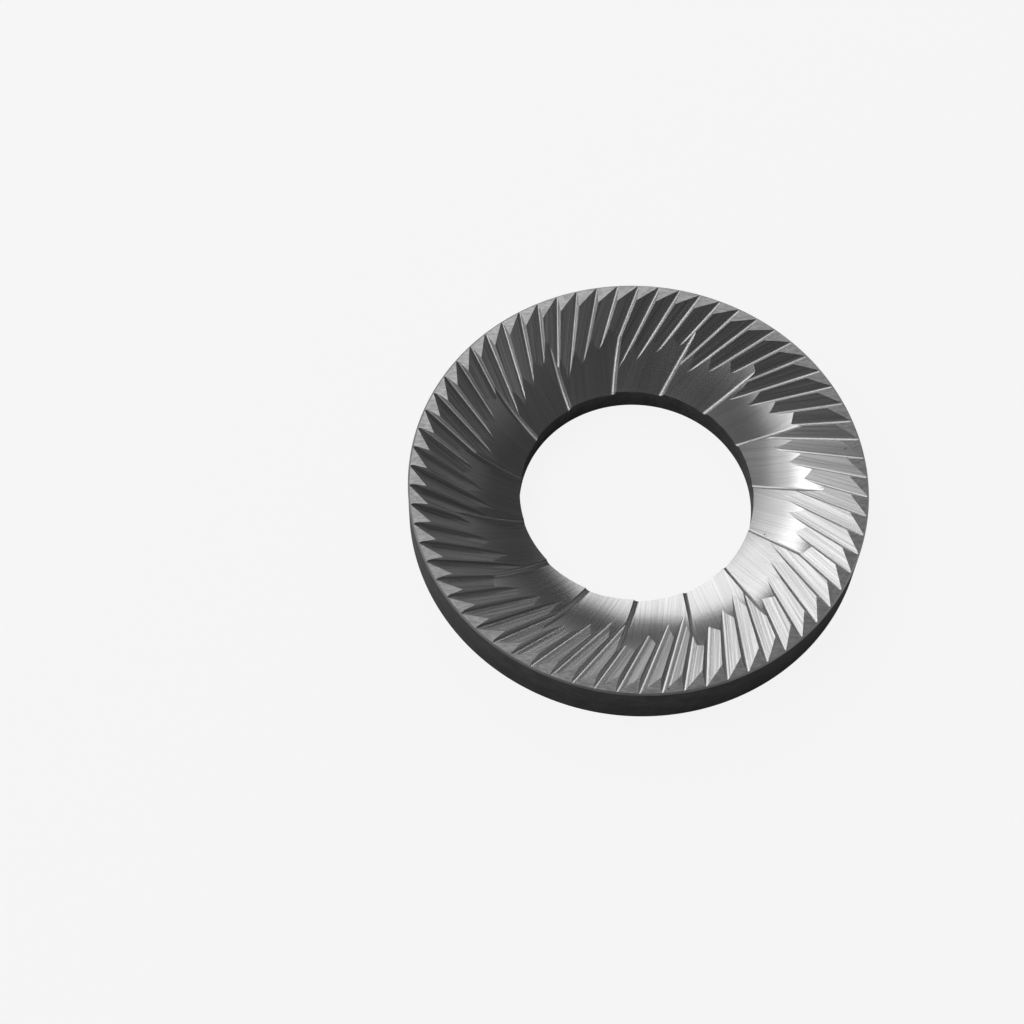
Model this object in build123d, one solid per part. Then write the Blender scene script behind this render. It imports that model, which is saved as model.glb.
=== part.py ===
from build123d import *
from math import cos, pi, radians, sin, sqrt, tan
import os

# Grinding ring of a coffee grinder, cutting teeth on the upper face.
# Millimetres, back face on the ground plane, ring axis on Z.

# Ring blank
outer_diameter = 80.0
bore_diameter = 41.0
thickness = 10.0
rim_chamfer = 0.3          # outer edge on the toothed side
back_chamfer = 0.5         # outer edge of the back face
bore_chamfer = 0.4         # bore edge of the back face

# Fine cutting grooves, one beside each tooth
tooth_count = 66
groove_heading = 19.6      # plan angle between groove and inward radius, degrees
groove_fall = 12.2         # descent of the groove towards the bore, degrees
steep_flank = 49.2         # cutting side of a tooth, degrees
shallow_flank = 20.9       # relief side of a tooth, degrees
root_width = 0.46          # flat ground along the bottom of the groove
root_tilt = 7.4            # lean of that flat to the relief side, degrees
groove_overrun = 0.13      # the sharp root would leave the face this far outside the rim
groove_stop = 2.5          # distance from the bore at which the groove ends

# Coarse feed grooves beside the bore
feed_count = 15
feed_start = -1.87         # angle of the first feed groove, degrees
feed_reference = 6.3       # distance from the bore at which floor and wall are set out
floor_depth = 3.84         # depth of the floor at the reference point
floor_slope = 20.8         # descent of the floor towards the bore there, degrees
floor_rise = 9.0           # climb of the floor away from its wall, degrees
floor_radius = 43.0        # hollow grinding of the floor
floor_width = 13.5         # reach of the floor past the reference point
wall_offset = 1.0          # the wall leaves the face this far before the reference point
wall_heading = 4.4         # plan angle between wall and inward radius, degrees
wall_slope = 67.3          # steepness of the wall, degrees
feed_fillet = 0.9          # rounding between floor and wall

# Dowel holes in the back face
dowel_count = 3
dowel_diameter = 3.0
dowel_depth = 5.0
dowel_chamfer = 0.25
dowel_start = 60.0         # angle of the first hole, degrees

outer_radius = outer_diameter / 2
bore_radius = bore_diameter / 2
dowel_circle_radius = (outer_radius + bore_radius) / 2
clear = 1.0                # cutters stand this far out of the blank


def ring_blank():
    """Flat ring turned from its half section, with its three edge chamfers."""
    section = Polyline(
        (bore_radius + bore_chamfer, 0),
        (outer_radius - back_chamfer, 0),
        (outer_radius, back_chamfer),
        (outer_radius, thickness - rim_chamfer),
        (outer_radius - rim_chamfer, thickness),
        (bore_radius, thickness),
        (bore_radius, bore_chamfer),
        close=True,
    )
    return revolve(Plane.XZ * make_face(section), Axis.Z)


def fine_groove():
    """Wheel path of one fine groove: its section pushed down along the sloping root."""
    start = Vector(outer_radius + groove_overrun, 0, thickness)
    run = outer_radius + groove_overrun - bore_radius - groove_stop
    plan = Vector(-1, 0, 0).rotate(Axis.Z, -groove_heading)
    fall = radians(groove_fall)
    along = plan * cos(fall) - Vector(0, 0, sin(fall))
    steep = tan(radians(steep_flank))
    shallow = tan(radians(shallow_flank))
    # the tilted flat of the given width cuts off the sharp root between the flanks
    flat = root_width * cos(radians(root_tilt))
    drop = root_width * sin(radians(root_tilt))
    steep_foot = (flat * shallow - drop) / (steep + shallow)
    shallow_foot = flat - steep_foot
    # each flank ends past the crest it shares with the next groove
    pitch = 2 * pi * outer_radius / tooth_count + root_width
    crest = pitch * steep * shallow / (steep + shallow)
    top = run * tan(fall) + crest
    section = Polyline(
        (steep_foot, steep_foot * steep),
        (crest / steep, crest),
        (crest / steep, top),
        (-crest / shallow, top),
        (-crest / shallow, crest),
        (-shallow_foot, shallow_foot * shallow),
        close=True,
    )
    # in the section X points to the steep flank and Y out of the face
    section_plane = Plane(origin=start, x_dir=Vector(0, 0, 1).cross(plan), z_dir=along)
    return extrude(section_plane * make_face(section), run)


def feed_groove():
    """Wheel path of one feed groove: hollow sloping floor beside a steep wall."""
    reference = Vector(bore_radius + feed_reference, 0, thickness)
    rise = tan(radians(floor_rise))
    lead = wall_offset + 2 * clear
    # floor arc in the upright plane through the axis, centre of the wheel above it
    centre_x = -floor_radius * sin(radians(floor_slope))
    centre_z = -floor_depth + floor_radius * cos(radians(floor_slope))
    inner = -feed_reference - bore_radius / 2
    top = clear + lead * rise
    outer = centre_x + sqrt(floor_radius**2 - (centre_z - top) ** 2)

    def floor_point(x):
        return (x, centre_z - sqrt(floor_radius**2 - (x - centre_x) ** 2))

    floor = ThreePointArc(floor_point(inner), floor_point((inner + outer) / 2), floor_point(outer))
    rest = Polyline(floor_point(outer), (inner, top), floor_point(inner))
    profile_plane = Plane(
        origin=reference - Vector(0, lead, lead * rise), x_dir=(1, 0, 0), z_dir=(0, -1, 0)
    )
    ruling = Vector(0, 1, rise)
    path = extrude(
        profile_plane * make_face([floor, rest]), (lead + floor_width) * ruling.length, dir=ruling
    )
    # nothing is cut behind the wall
    plan = Vector(-1, 0, 0).rotate(Axis.Z, -wall_heading)
    slope = radians(wall_slope)
    out_of_wall = plan.cross(Vector(0, 0, 1)) * sin(slope) + Vector(0, 0, cos(slope))
    wall = Plane(origin=reference - Vector(0, wall_offset, 0), z_dir=out_of_wall)
    path = split(path, bisect_by=wall, keep=Keep.TOP)
    wall_face = path.faces().sort_by(lambda face: face.normal_at().dot(out_of_wall))[0]
    root = wall_face.edges().filter_by(GeomType.LINE, reverse=True)
    return fillet(root, feed_fillet)


def dowel_hole():
    """Blind hole with a chamfered mouth, standing on the back face."""
    hole = Cylinder(
        dowel_diameter / 2, dowel_depth, align=(Align.CENTER, Align.CENTER, Align.MIN)
    )
    mouth = Cone(
        dowel_diameter / 2 + dowel_chamfer,
        dowel_diameter / 2,
        dowel_chamfer,
        align=(Align.CENTER, Align.CENTER, Align.MIN),
    )
    return hole + mouth


def burr():
    """Ring blank with both sets of grooves ground in and the dowel holes drilled."""
    fine = fine_groove()
    feed = feed_groove()
    hole = dowel_hole()
    body = ring_blank()
    body -= [place * fine for place in PolarLocations(0, tooth_count)]
    body -= [place * feed for place in PolarLocations(0, feed_count, feed_start)]
    body -= [place * hole for place in PolarLocations(dowel_circle_radius, dowel_count, dowel_start)]
    return body


result = burr()
result.label = "burr"
os.makedirs("parts", exist_ok=True)
export_step(result, "parts/burr.step")
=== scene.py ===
import math
import random

import bmesh
import bpy
from mathutils import Matrix, Vector


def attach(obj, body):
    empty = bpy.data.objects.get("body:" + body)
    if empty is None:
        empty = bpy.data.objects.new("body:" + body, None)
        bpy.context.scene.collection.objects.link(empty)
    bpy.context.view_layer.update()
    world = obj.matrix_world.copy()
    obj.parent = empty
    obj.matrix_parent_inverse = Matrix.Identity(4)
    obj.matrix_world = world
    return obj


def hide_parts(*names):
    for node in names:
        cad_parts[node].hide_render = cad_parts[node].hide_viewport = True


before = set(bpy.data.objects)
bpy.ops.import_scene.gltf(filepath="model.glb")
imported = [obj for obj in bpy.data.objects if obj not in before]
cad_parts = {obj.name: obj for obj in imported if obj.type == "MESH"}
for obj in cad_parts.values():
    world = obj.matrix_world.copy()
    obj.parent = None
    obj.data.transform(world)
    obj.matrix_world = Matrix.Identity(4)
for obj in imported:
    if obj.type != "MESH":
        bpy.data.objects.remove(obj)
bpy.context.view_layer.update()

# Camera: stands in front of the burr, a little to its left, and looks steeply down on the teeth.
camera_data = bpy.data.cameras.new("camera")
camera_data.lens = 82.44
camera_data.sensor_width = 36.0
camera_data.clip_start = 0.02
camera = bpy.data.objects.new("camera", camera_data)
camera.location = (-0.03033, -0.18660, 0.37084)
camera.rotation_euler = (math.radians(26.628), math.radians(-0.810), math.radians(-1.006))
bpy.context.collection.objects.link(camera)
bpy.context.scene.camera = camera


# The ring blank.
# Turned from tool steel and hardened. Rim and bore are painted dark: painted reflection of the dark
# surroundings they face. The toothed face is ground bright afterwards, the back is ground to an even
# satin, and the chamfers are turned bright.
MM = 0.001
outer_radius = 40.0 * MM
bore_radius = 20.5 * MM
thickness = 10.0 * MM
rim_chamfer = 0.3 * MM
back_chamfer = 0.5 * MM
bore_chamfer = 0.4 * MM
ring_segments = 264
edge_tolerance = 0.05 * MM
# A face counts as level when its normal's z is past the first of these, as upright below the second.
level = 0.9
upright = 0.1


def only(piece):
    """Makes one piece the only selected and active object."""
    bpy.ops.object.select_all(action="DESELECT")
    piece.select_set(True)
    bpy.context.view_layer.objects.active = piece


def settle(piece):
    """Puts a piece's place and turn into its mesh."""
    only(piece)
    bpy.ops.object.transform_apply(location=True, rotation=True, scale=True)


def select_in_mesh(piece, kind, test):
    """Selects the edges or faces of a piece that pass a test, and stays in edit mode."""
    only(piece)
    bpy.ops.object.mode_set(mode="EDIT")
    bpy.ops.mesh.select_mode(type=kind)
    bpy.ops.mesh.select_all(action="DESELECT")
    mesh = bmesh.from_edit_mesh(piece.data)
    for element in mesh.edges if kind == "EDGE" else mesh.faces:
        if test(element):
            element.select_set(True)
    mesh.select_flush_mode()
    bmesh.update_edit_mesh(piece.data)


def ring_edge(radius, height):
    """Test for the edges of one circle of the blank."""
    def test(edge):
        return all(
            abs(corner.co.xy.length - radius) < edge_tolerance
            and abs(corner.co.z - height) < edge_tolerance
            for corner in edge.verts
        )
    return test


def chamfer(piece, radius, height, width):
    """Turns a narrow chamfer on one edge of the blank."""
    select_in_mesh(piece, "EDGE", ring_edge(radius, height))
    bpy.ops.mesh.bevel(
        offset=width * math.sqrt(2), offset_type="WIDTH", segments=1, affect="EDGES"
    )
    bpy.ops.object.mode_set(mode="OBJECT")


def lay_uv(piece, place):
    """Lays the grinding map: millimetres along and across the path of the tool."""
    mesh = piece.data
    layer = mesh.uv_layers.get("grinding") or mesh.uv_layers.new(name="grinding")
    for face in mesh.polygons:
        for loop in face.loop_indices:
            corner = mesh.vertices[mesh.loops[loop].vertex_index].co
            layer.data[loop].uv = place(corner, face.normal)


def streak_group():
    """Node group: streaks that a tool leaves along its path, read from the grinding map."""
    group = bpy.data.node_groups.new("tool_streaks", "ShaderNodeTree")
    for name, value in (("Across", 4.0), ("Along", 0.05)):
        socket = group.interface.new_socket(name, in_out="INPUT", socket_type="NodeSocketFloat")
        socket.default_value = value
    group.interface.new_socket("Streaks", in_out="OUTPUT", socket_type="NodeSocketFloat")
    nodes, links = group.nodes, group.links
    source = nodes.new("NodeGroupInput")
    result = nodes.new("NodeGroupOutput")
    grinding = nodes.new("ShaderNodeUVMap")
    grinding.uv_map = "grinding"
    parts = nodes.new("ShaderNodeSeparateXYZ")
    links.new(grinding.outputs["UV"], parts.inputs[0])
    stretched = nodes.new("ShaderNodeCombineXYZ")
    for axis, name in (("X", "Along"), ("Y", "Across")):
        scaled = nodes.new("ShaderNodeMath")
        scaled.operation = "MULTIPLY"
        links.new(parts.outputs[axis], scaled.inputs[0])
        links.new(source.outputs[name], scaled.inputs[1])
        links.new(scaled.outputs[0], stretched.inputs[axis])
    noise = nodes.new("ShaderNodeTexNoise")
    noise.noise_dimensions = "2D"
    noise.inputs["Scale"].default_value = 1.0
    noise.inputs["Detail"].default_value = 1.0
    noise.inputs["Roughness"].default_value = 0.6
    links.new(stretched.outputs[0], noise.inputs["Vector"])
    links.new(noise.outputs[0], result.inputs["Streaks"])
    return group


streaks = streak_group()
# The streaks' noise stays between these two values nearly everywhere.
noise_low = 0.35
noise_high = 0.65


def steel(name, tone, roughness, bands, contrast, depth, brushed=0.0):
    """Steel finish, with its streaks' depth in mm.

    Each band of streaks is (per mm across, per mm along, share of the pattern).
    """
    material = bpy.data.materials.new(name)
    material.use_nodes = True
    nodes, links = material.node_tree.nodes, material.node_tree.links
    shader = nodes["Principled BSDF"]
    shader.inputs["Metallic"].default_value = 1.0
    shader.inputs["Roughness"].default_value = roughness
    shader.inputs["Anisotropic"].default_value = brushed
    shader.inputs["Anisotropic Rotation"].default_value = 0.25
    tool_path = nodes.new("ShaderNodeTangent")
    tool_path.direction_type = "UV_MAP"
    tool_path.uv_map = "grinding"
    links.new(tool_path.outputs[0], shader.inputs["Tangent"])
    total = None
    for across, run, share in bands:
        band = nodes.new("ShaderNodeGroup")
        band.node_tree = streaks
        band.inputs["Across"].default_value = across
        band.inputs["Along"].default_value = run
        weighted = nodes.new("ShaderNodeMath")
        weighted.operation = "MULTIPLY_ADD"
        weighted.inputs[1].default_value = share
        weighted.inputs[2].default_value = 0.0
        links.new(band.outputs[0], weighted.inputs[0])
        if total:
            links.new(total, weighted.inputs[2])
        total = weighted.outputs[0]
    spread = nodes.new("ShaderNodeMapRange")
    spread.inputs["From Min"].default_value = noise_low
    spread.inputs["From Max"].default_value = noise_high
    spread.inputs["To Min"].default_value = 1 - contrast
    spread.inputs["To Max"].default_value = 1 + contrast
    links.new(total, spread.inputs["Value"])
    shade = nodes.new("ShaderNodeVectorMath")
    shade.operation = "SCALE"
    shade.inputs[0].default_value = (tone, tone, tone)
    links.new(spread.outputs[0], shade.inputs["Scale"])
    links.new(shade.outputs[0], shader.inputs["Base Color"])
    bump = nodes.new("ShaderNodeBump")
    bump.inputs["Strength"].default_value = 1.0
    bump.inputs["Distance"].default_value = depth * MM
    links.new(total, bump.inputs["Height"])
    links.new(bump.outputs[0], shader.inputs["Normal"])
    return material


bpy.ops.object.select_all(action="DESELECT")
bpy.ops.mesh.primitive_cylinder_add(
    vertices=ring_segments, radius=outer_radius, depth=thickness, location=(0, 0, thickness / 2)
)
ring = bpy.context.object
ring.name = "ground_burr"
settle(ring)
select_in_mesh(ring, "FACE", lambda face: abs(face.normal.z) > level)
bpy.ops.mesh.inset(thickness=outer_radius - bore_radius, use_even_offset=False)
bpy.ops.mesh.bridge_edge_loops()
bpy.ops.object.mode_set(mode="OBJECT")
chamfer(ring, outer_radius, thickness, rim_chamfer)
chamfer(ring, outer_radius, 0, back_chamfer)
chamfer(ring, bore_radius, 0, bore_chamfer)


def ring_place(corner, normal):
    """The flat faces are ground across in straight passes, rim and bore are turned."""
    if abs(normal.z) > level:
        return (corner.x / MM, corner.y / MM)
    facing = normal.xy if normal.xy.dot(corner.xy) > 0 else -normal.xy
    turn = math.atan2(facing.y, facing.x) - facing.angle_signed(corner.xy)
    return (turn * outer_radius / MM, corner.z / MM)


lay_uv(ring, ring_place)
land_steel = steel(
    "land_steel", tone=0.50, roughness=0.36,
    bands=((3.0, 1.0, 0.6), (1.2, 0.3, 0.4)), contrast=0.20, depth=0.005, brushed=0.3,
)
back_steel = steel(
    "back_steel", tone=0.62, roughness=0.42,
    bands=((4.0, 2.0, 0.6), (0.3, 0.1, 0.4)), contrast=0.06, depth=0.0005,
)
# Painted dark steel: painted reflection on rim and bore, painted shade in the dowel holes and pits.
painted_dark_steel = steel(
    "painted_dark_steel", tone=0.11, roughness=0.45,
    bands=((3.0, 0.6, 0.6), (0.4, 0.2, 0.4)), contrast=0.25, depth=0.004,
)
chamfer_steel = steel(
    "chamfer_steel", tone=0.50, roughness=0.28,
    bands=((3.0, 0.2, 1.0),), contrast=0.10, depth=0.002,
)
ring_finishes = (land_steel, back_steel, painted_dark_steel, chamfer_steel)
for finish in ring_finishes:
    ring.data.materials.append(finish)
for face in ring.data.polygons:
    if face.normal.z > level:
        finish = land_steel
    elif face.normal.z < -level:
        finish = back_steel
    # Rim and bore take the painted dark steel: painted reflection.
    elif abs(face.normal.z) < upright:
        finish = painted_dark_steel
    else:
        finish = chamfer_steel
    face.material_index = ring_finishes.index(finish)


# The fine cutting grooves.
# A profiled wheel grinds each one, from the rim down towards the bore, so every groove has the
# wheel's section: a steep flank, a narrow rounded root and a long shallow flank. As the wheel wore,
# its corner left steps beside the root, strongest in the grooves at the front.
tooth_count = 66
groove_heading = math.radians(19.6)
groove_fall = math.radians(12.2)
steep_angle = math.radians(49.2)
shallow_angle = math.radians(20.9)
root_radius = 0.6 * MM
root_steps = 8
root_width = 0.46 * MM
start_beyond_rim = 0.13 * MM
end_before_bore = 2.5 * MM
groove_start = outer_radius + start_beyond_rim
groove_run = groove_start - bore_radius - end_before_bore
wheel_wander = random.Random(5)


def joined(pieces):
    """One object of several cutters."""
    bpy.ops.object.select_all(action="DESELECT")
    for piece in pieces:
        piece.select_set(True)
    bpy.context.view_layer.objects.active = pieces[0]
    bpy.ops.object.join()
    return bpy.context.object


def cut(piece, cutters, passes, finish):
    """Takes the paths of cutters out of a piece, in passes of cutters that stand clear."""
    for cutter in cutters:
        cutter.data.materials.append(finish)
    for first in range(passes):
        cutter = joined(cutters[first::passes])
        only(piece)
        modifier = piece.modifiers.new("cut", "BOOLEAN")
        modifier.operation = "DIFFERENCE"
        modifier.solver = "MANIFOLD"
        modifier.material_mode = "TRANSFER"
        modifier.object = cutter
        bpy.ops.object.modifier_apply(modifier=modifier.name)
        bpy.data.objects.remove(cutter)


def prism(name, corners, run):
    """A closed bar: its section's corners, pushed along one direction."""
    bpy.ops.object.select_all(action="DESELECT")
    bpy.ops.mesh.primitive_circle_add(vertices=len(corners), radius=1.0, fill_type="NGON")
    bar = bpy.context.object
    bar.name = name
    for vertex, corner in zip(bar.data.vertices, corners):
        vertex.co = corner
    only(bar)
    bpy.ops.object.mode_set(mode="EDIT")
    bpy.ops.mesh.select_all(action="SELECT")
    bpy.ops.mesh.extrude_region_move(TRANSFORM_OT_translate={"value": run})
    bpy.ops.mesh.select_all(action="SELECT")
    bpy.ops.mesh.normals_make_consistent(inside=False)
    bpy.ops.object.mode_set(mode="OBJECT")
    return bar


plan = Vector((-math.cos(groove_heading), math.sin(groove_heading), 0))
along = plan * math.cos(groove_fall) - Vector((0, 0, math.sin(groove_fall)))
to_steep = Vector((0, 0, 1)).cross(plan)
outward = along.cross(to_steep)
steep = math.tan(steep_angle)
shallow = math.tan(shallow_angle)
crest = (2 * math.pi * outer_radius / tooth_count + root_width) * steep * shallow / (steep + shallow)
crown = groove_run * math.tan(groove_fall) + crest
root_reach = root_radius * math.tan((steep_angle + shallow_angle) / 2)
root_centre = Vector((
    root_reach * math.cos(steep_angle) - root_radius * math.sin(steep_angle),
    root_reach * math.sin(steep_angle) + root_radius * math.cos(steep_angle),
))
root_round = []
for step in range(root_steps + 1):
    lean = steep_angle - (steep_angle + shallow_angle) * step / root_steps
    root_round.append(root_centre + root_radius * Vector((math.sin(lean), -math.cos(lean))))

# Wear: (mm from the root, mm over the flank) of each step, and how much of it a groove shows. It is
# full in the groove at the front and soon falls to a share between the least and the most.
wear_steps = (
    (0.50, 0.0), (0.78, 0.035), (0.86, -0.012), (1.10, 0.014), (1.17, -0.006), (1.50, 0.0),
)
least_wear = 0.05
most_wear = 0.25
front = math.radians(255)
front_focus = 6
step_wander = 0.03
depth_wander = 0.012

# Every groove reads its own lane of the grinding map, this many mm apart, so no two look alike.
groove_lane = 11.0
first_groove_lane = 5
fine_grooves = []
for number in range(tooth_count):
    turn = 2 * math.pi * number / tooth_count
    at_front = max(0.0, math.cos(turn - front)) ** front_focus
    wear = wheel_wander.uniform(least_wear, most_wear) + at_front
    groove_section = [(crest / steep, crest), (crest / steep, crown), (-crest / shallow, crown)]
    groove_section.append((-crest / shallow, crest))
    for side, up in reversed(wear_steps):
        side += wheel_wander.uniform(-step_wander, step_wander)
        groove_section.append((-side * MM, side * MM * shallow + up * wear * MM))
    groove_section += reversed(root_round)
    origin = Vector((groove_start, 0, thickness))
    origin += outward * wheel_wander.uniform(-depth_wander, depth_wander) * MM
    corners = [origin + to_steep * side + outward * up for side, up in groove_section]
    groove = prism("groove", corners, along * groove_run)

    def groove_place(corner, normal, origin=origin, number=number):
        offset = corner - origin
        lane = groove_lane * (number + first_groove_lane)
        return (offset.dot(along) / MM, offset.dot(to_steep) / MM + lane)

    lay_uv(groove, groove_place)
    groove.data.transform(Matrix.Rotation(turn, 4, "Z"))
    fine_grooves.append(groove)
flank_steel = steel(
    "flank_steel", tone=0.50, roughness=0.27,
    bands=((0.5, 0.02, 0.25), (2.2, 0.04, 0.4), (4.0, 0.06, 0.35)),
    contrast=0.24, depth=0.0015, brushed=0.8,
)
cut(ring, fine_grooves, passes=3, finish=flank_steel)


# The feed grooves beside the bore.
# The edge of a large wheel sinks in from the bore, so the floor is hollow and a steep wall stands
# beside it, with the wheel's rounded corner between them.
feed_count = 15
feed_start = math.radians(-1.87)
feed_reference = bore_radius + 6.3 * MM
floor_depth = 3.84 * MM
floor_slope = math.radians(20.8)
floor_rise = math.tan(math.radians(9.0))
floor_steps = 48
wheel_radius = 43.0 * MM
floor_width = 13.5 * MM
wall_offset = 1.0 * MM
wall_heading = math.radians(4.4)
wall_slope = math.radians(67.3)
wheel_corner = 0.9 * MM
corner_steps = 8
clear = 1.0 * MM
touching = 0.001 * MM
floor_facing = -0.6
floor_lane = 23.0
first_floor_lane = 3

lead = wall_offset + 2 * clear
ruling = Vector((0, 1, floor_rise))
centre = Vector((
    feed_reference - wheel_radius * math.sin(floor_slope),
    0,
    thickness - floor_depth + wheel_radius * math.cos(floor_slope),
))
top = thickness + clear + lead * floor_rise
inner = bore_radius / 2
outer = centre.x + math.sqrt(wheel_radius**2 - (centre.z - top) ** 2)
corners = [Vector((inner, 0, top)) - ruling * lead]
for step in range(floor_steps + 1):
    x = inner + (outer - inner) * step / floor_steps
    bottom = Vector((x, 0, centre.z - math.sqrt(wheel_radius**2 - (x - centre.x) ** 2)))
    corners.append(bottom - ruling * lead)
wheel = prism("wheel", corners, ruling * (lead + floor_width))

wall_plan = Vector((-math.cos(wall_heading), math.sin(wall_heading), 0))
out_of_wall = wall_plan.cross(Vector((0, 0, 1))) * math.sin(wall_slope)
out_of_wall += Vector((0, 0, math.cos(wall_slope)))
wall_point = Vector((feed_reference, -wall_offset, thickness))
only(wheel)
bpy.ops.object.mode_set(mode="EDIT")
bpy.ops.mesh.select_all(action="SELECT")
bpy.ops.mesh.bisect(plane_co=wall_point, plane_no=out_of_wall, use_fill=True, clear_inner=True)
bpy.ops.object.mode_set(mode="OBJECT")


def wheel_edge(edge):
    """Test for the corner between the wheel's face and its side."""
    on_wall = all(
        abs((corner.co - wall_point).dot(out_of_wall)) < touching for corner in edge.verts
    )
    return on_wall and any(face.normal.z < floor_facing for face in edge.link_faces)


select_in_mesh(wheel, "EDGE", wheel_edge)
opening = math.pi - wall_slope - math.atan(floor_rise)
bpy.ops.mesh.bevel(
    offset=wheel_corner / math.tan(opening / 2), offset_type="OFFSET",
    segments=corner_steps, affect="EDGES",
)
bpy.ops.mesh.select_all(action="SELECT")
bpy.ops.mesh.normals_make_consistent(inside=False)
bpy.ops.object.mode_set(mode="OBJECT")

feed_grooves = []
for number in range(feed_count):
    groove = wheel.copy()
    groove.data = wheel.data.copy()
    bpy.context.collection.objects.link(groove)

    def floor_place(corner, normal, number=number):
        sweep = math.atan2(corner.x - centre.x, centre.z - corner.z) * wheel_radius
        across = corner.y if normal.z < floor_facing else corner.z
        return (sweep / MM, across / MM + floor_lane * (number + first_floor_lane))

    lay_uv(groove, floor_place)
    groove.data.transform(Matrix.Rotation(feed_start + 2 * math.pi * number / feed_count, 4, "Z"))
    feed_grooves.append(groove)
bpy.data.objects.remove(wheel)
floor_steel = steel(
    "floor_steel", tone=0.50, roughness=0.26,
    bands=((0.4, 0.02, 0.3), (2.0, 0.03, 0.35), (4.0, 0.06, 0.35)),
    contrast=0.09, depth=0.0010, brushed=0.8,
)
cut(ring, feed_grooves, passes=3, finish=floor_steel)


# The dowel holes in the back.
# Drilled and reamed before hardening, blind and lightly chamfered. Their insides are painted dark:
# painted shade.
dowel_count = 3
first_dowel = 60
dowel_sides = 48
dowel_radius = 1.5 * MM
dowel_depth = 5.0 * MM
dowel_chamfer = 0.25 * MM
dowel_circle = (outer_radius + bore_radius) / 2
holes = []
mouths = []
for number in range(dowel_count):
    angle = math.radians(first_dowel + 360 / dowel_count * number)
    spot = (dowel_circle * math.cos(angle), dowel_circle * math.sin(angle))
    bpy.ops.object.select_all(action="DESELECT")
    bpy.ops.mesh.primitive_cylinder_add(
        vertices=dowel_sides,
        radius=dowel_radius,
        depth=dowel_depth + clear,
        location=(*spot, (dowel_depth - clear) / 2),
    )
    settle(bpy.context.object)
    holes.append(bpy.context.object)
    bpy.ops.object.select_all(action="DESELECT")
    bpy.ops.mesh.primitive_cone_add(
        vertices=dowel_sides,
        radius1=dowel_radius + dowel_chamfer + clear,
        radius2=dowel_radius,
        depth=dowel_chamfer + clear,
        location=(*spot, (dowel_chamfer - clear) / 2),
    )
    settle(bpy.context.object)
    mouths.append(bpy.context.object)
for cutter in holes + mouths:
    lay_uv(cutter, lambda corner, normal: (corner.x / MM, corner.z / MM))
# The holes' insides take the painted dark steel: painted shade.
cut(ring, holes, passes=1, finish=painted_dark_steel)
cut(ring, mouths, passes=1, finish=chamfer_steel)


# The marks etched in the back.
# Three house-shaped outlines between the dowel holes show where thin packing goes under the burr,
# each with a plain number. They are etched dark and hardly sunk.
mark_count = 3
etch_depth = 0.04 * MM
etch_line = 0.26 * MM
outline = ((21.2, 0.0), (23.0, 2.35), (32.1, 2.35), (32.1, -2.35), (23.0, -2.35))
digit_size = 3.6 * MM
digit_place = 27.8 * MM


def plan_place(corner, normal):
    """The grinding map of a small cut in a flat face."""
    return (corner.x / MM, corner.y / MM)


marks = []
for number in range(mark_count):
    bpy.ops.object.select_all(action="DESELECT")
    bpy.ops.mesh.primitive_circle_add(vertices=len(outline), radius=1.0, fill_type="NGON")
    mark = bpy.context.object
    for vertex, (x, y) in zip(mark.data.vertices, outline):
        vertex.co = (x * MM, y * MM, -clear)
    only(mark)
    bpy.ops.object.mode_set(mode="EDIT")
    bpy.ops.mesh.select_mode(type="FACE")
    bpy.ops.mesh.select_all(action="SELECT")
    bpy.ops.mesh.inset(thickness=etch_line, use_even_offset=True)
    bpy.ops.mesh.delete(type="FACE")
    bpy.ops.mesh.select_all(action="SELECT")
    bpy.ops.mesh.extrude_region_move(TRANSFORM_OT_translate={"value": (0, 0, clear + etch_depth)})
    bpy.ops.mesh.select_all(action="SELECT")
    bpy.ops.mesh.normals_make_consistent(inside=False)
    bpy.ops.object.mode_set(mode="OBJECT")
    bpy.ops.object.select_all(action="DESELECT")
    bpy.ops.object.text_add()
    digit = bpy.context.object
    digit.data.body = str(number + 1)
    digit.data.size = digit_size
    digit.data.align_x = "CENTER"
    digit.data.align_y = "CENTER"
    digit.data.extrude = (clear + etch_depth) / 2
    bpy.ops.object.convert(target="MESH")
    digit = bpy.context.object
    only(digit)
    bpy.ops.object.mode_set(mode="EDIT")
    bpy.ops.mesh.select_all(action="SELECT")
    bpy.ops.mesh.remove_doubles(threshold=touching)
    bpy.ops.mesh.normals_make_consistent(inside=False)
    bpy.ops.object.mode_set(mode="OBJECT")
    digit.location = (digit_place, 0, (etch_depth - clear) / 2)
    digit.rotation_euler = (math.pi, 0, 0)
    settle(digit)
    mark = joined([mark, digit])
    lay_uv(mark, plan_place)
    mark.data.transform(Matrix.Rotation(math.radians(360 / mark_count * number), 4, "Z"))
    marks.append(mark)
etched_steel = steel(
    "etched_steel", tone=0.05, roughness=0.6, bands=((6.0, 6.0, 1.0),), contrast=0.15, depth=0.004
)
cut(ring, marks, passes=1, finish=etched_steel)


# Small dents.
# A knock has left bright nicks on three teeth near the rim. A few pits lie on a land at the
# front and on the feed floors; they are painted dark, as painted shade in the hollows.
# Each is (x, y, z, radius) in mm. The ball that makes it stands this share of its radius too high.
ball_lift = 0.45
nicks = ((36.09, 7.42, 10.0, 0.20), (36.19, 4.11, 9.95, 0.20), (36.38, 6.03, 9.64, 0.16))
pits = (
    (3.36, -38.84, 10.0, 0.17),
    (36.62, 6.20, 9.72, 0.12),
    (21.88, -8.28, 5.33, 0.15),
    (22.10, -8.75, 5.45, 0.12),
)
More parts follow.
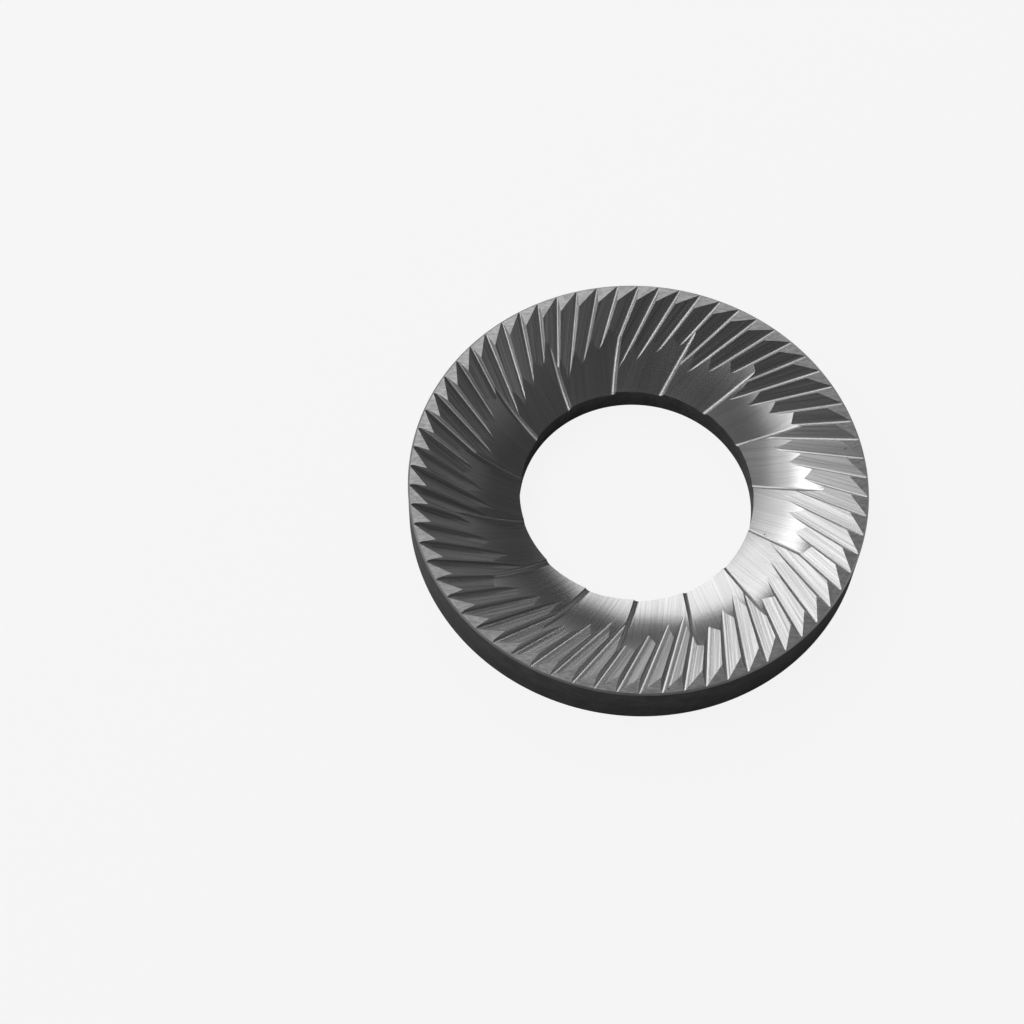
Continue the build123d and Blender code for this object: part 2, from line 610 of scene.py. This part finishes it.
# The pits take the painted dark steel: painted shade.
for places, finish in ((nicks, chamfer_steel), (pits, painted_dark_steel)):
    dents = []
    for x, y, z, radius in places:
        bpy.ops.object.select_all(action="DESELECT")
        bpy.ops.mesh.primitive_ico_sphere_add(
            subdivisions=2,
            radius=radius * MM,
            location=(x * MM, y * MM, (z + radius * ball_lift) * MM),
        )
        settle(bpy.context.object)
        lay_uv(bpy.context.object, plan_place)
        dents.append(bpy.context.object)
    cut(ring, dents, passes=1, finish=finish)


# The finished ring.
# It is one piece and stays where it is. Its curved faces are shaded smooth, and every edge between
# two finishes stays sharp, as the tools left it.
smooth_below = math.radians(12)
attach(ring, "root")
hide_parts("burr")
only(ring)
bpy.ops.object.shade_smooth_by_angle(angle=smooth_below)
select_in_mesh(
    ring, "EDGE", lambda edge: len({face.material_index for face in edge.link_faces}) > 1
)
bpy.ops.mesh.mark_sharp()
bpy.ops.object.mode_set(mode="OBJECT")
weighing = ring.modifiers.new("weighing", "WEIGHTED_NORMAL")
weighing.keep_sharp = True
bpy.ops.object.modifier_apply(modifier=weighing.name)


# The studio: a pale floor, walls that glow near the horizon, seven soft panels of light above and
# one below, so each ground face shows a different grey. The floor is open under the flat back of the
# ring, and clear when it is seen from below, so the back shows there.
floor_reach = 4.0
floor_paint = 0.8
floor_glow = 0.88
bpy.ops.object.select_all(action="DESELECT")
bpy.ops.mesh.primitive_circle_add(vertices=ring_segments, radius=outer_radius - back_chamfer)
around = bpy.context.object
only(around)
bpy.ops.object.mode_set(mode="EDIT")
bpy.ops.mesh.select_all(action="SELECT")
bpy.ops.mesh.extrude_edges_move()
spread_out = floor_reach / (outer_radius - back_chamfer)
bpy.ops.transform.resize(value=(spread_out, spread_out, 1), center_override=(0, 0, 0))
bpy.ops.object.mode_set(mode="OBJECT")
bpy.ops.object.select_all(action="DESELECT")
bpy.ops.mesh.primitive_circle_add(
    vertices=ring_segments, radius=bore_radius + bore_chamfer, fill_type="NGON"
)
floor = joined([around, bpy.context.object])
floor.name = "floor"
select_in_mesh(floor, "FACE", lambda face: face.normal.z < 0)
bpy.ops.mesh.flip_normals()
bpy.ops.object.mode_set(mode="OBJECT")
pale = bpy.data.materials.new("pale_floor")
pale.use_nodes = True
nodes, links = pale.node_tree.nodes, pale.node_tree.links
paint = nodes["Principled BSDF"]
paint.inputs["Base Color"].default_value = (floor_paint, floor_paint, floor_paint, 1)
paint.inputs["Roughness"].default_value = 0.9
glow = nodes.new("ShaderNodeEmission")
rays = nodes.new("ShaderNodeLightPath")
lift = nodes.new("ShaderNodeMath")
lift.operation = "MULTIPLY"
lift.inputs[1].default_value = floor_glow
blend = nodes.new("ShaderNodeMixShader")
links.new(rays.outputs["Is Camera Ray"], lift.inputs[0])
links.new(lift.outputs[0], blend.inputs[0])
links.new(paint.outputs[0], blend.inputs[1])
links.new(glow.outputs[0], blend.inputs[2])
clear_below = nodes.new("ShaderNodeBsdfTransparent")
side = nodes.new("ShaderNodeNewGeometry")
one_sided = nodes.new("ShaderNodeMixShader")
links.new(side.outputs["Backfacing"], one_sided.inputs[0])
links.new(blend.outputs[0], one_sided.inputs[1])
links.new(clear_below.outputs[0], one_sided.inputs[2])
links.new(one_sided.outputs[0], nodes["Material Output"].inputs["Surface"])
floor.data.materials.append(pale)

# The walls' glow falls from the first strength to the second between these two heights of view.
glow_heights = (0.05, 0.40)
glow_strengths = (0.50, 0.07)
backdrop_tone = 0.95
world = bpy.data.worlds.new("studio")
bpy.context.scene.world = world
world.use_nodes = True
nodes, links = world.node_tree.nodes, world.node_tree.links
direction = nodes.new("ShaderNodeTexCoord")
height = nodes.new("ShaderNodeSeparateXYZ")
links.new(direction.outputs["Generated"], height.inputs[0])
walls = nodes.new("ShaderNodeMapRange")
walls.inputs["From Min"].default_value = glow_heights[0]
walls.inputs["From Max"].default_value = glow_heights[1]
walls.inputs["To Min"].default_value = glow_strengths[0]
walls.inputs["To Max"].default_value = glow_strengths[1]
links.new(height.outputs["Z"], walls.inputs["Value"])
rays = nodes.new("ShaderNodeLightPath")
backdrop = nodes.new("ShaderNodeMath")
backdrop.operation = "MAXIMUM"
backdrop.use_clamp = True
links.new(rays.outputs["Is Camera Ray"], backdrop.inputs[0])
links.new(walls.outputs[0], backdrop.inputs[1])
links.new(backdrop.outputs[0], nodes["Background"].inputs["Strength"])
nodes["Background"].inputs["Color"].default_value = (backdrop_tone, backdrop_tone, backdrop_tone, 1)

lamp_height = 1.0


def softbox(name, low, high, radiance):
    """A level panel of light over the burr: two of its corners in metres, and its brightness."""
    data = bpy.data.lights.new(name, "AREA")
    data.shape = "RECTANGLE"
    data.size = high[0] - low[0]
    data.size_y = high[1] - low[1]
    data.energy = radiance * math.pi * data.size * data.size_y
    lamp = bpy.data.objects.new(name, data)
    lamp.location = ((low[0] + high[0]) / 2, (low[1] + high[1]) / 2, lamp_height)
    bpy.context.collection.objects.link(lamp)
    return lamp


softbox("left_softbox", (-1.0, -0.2), (-0.65, 1.6), 2.7)
softbox("left_edge", (-0.65, -0.2), (-0.42, 1.6), 0.85)
softbox("back_strip", (-0.42, 0.7), (0.25, 1.6), 2.0)
softbox("overhead", (-0.42, 0.3), (0.0, 0.7), 0.65)
softbox("back_low", (-1.0, 1.6), (0.25, 2.4), 0.2)
softbox("front_left", (-1.0, -0.9), (-0.42, -0.2), 0.85)
softbox("right_panel", (0.9, -0.2), (2.0, 0.9), 0.15)
under_light = softbox("under_light", (-1.5, -1.5), (1.5, 1.5), 0.6)
under_light.location.z = -lamp_height
under_light.rotation_euler.x = math.pi

bpy.context.scene.view_settings.view_transform = "Standard"
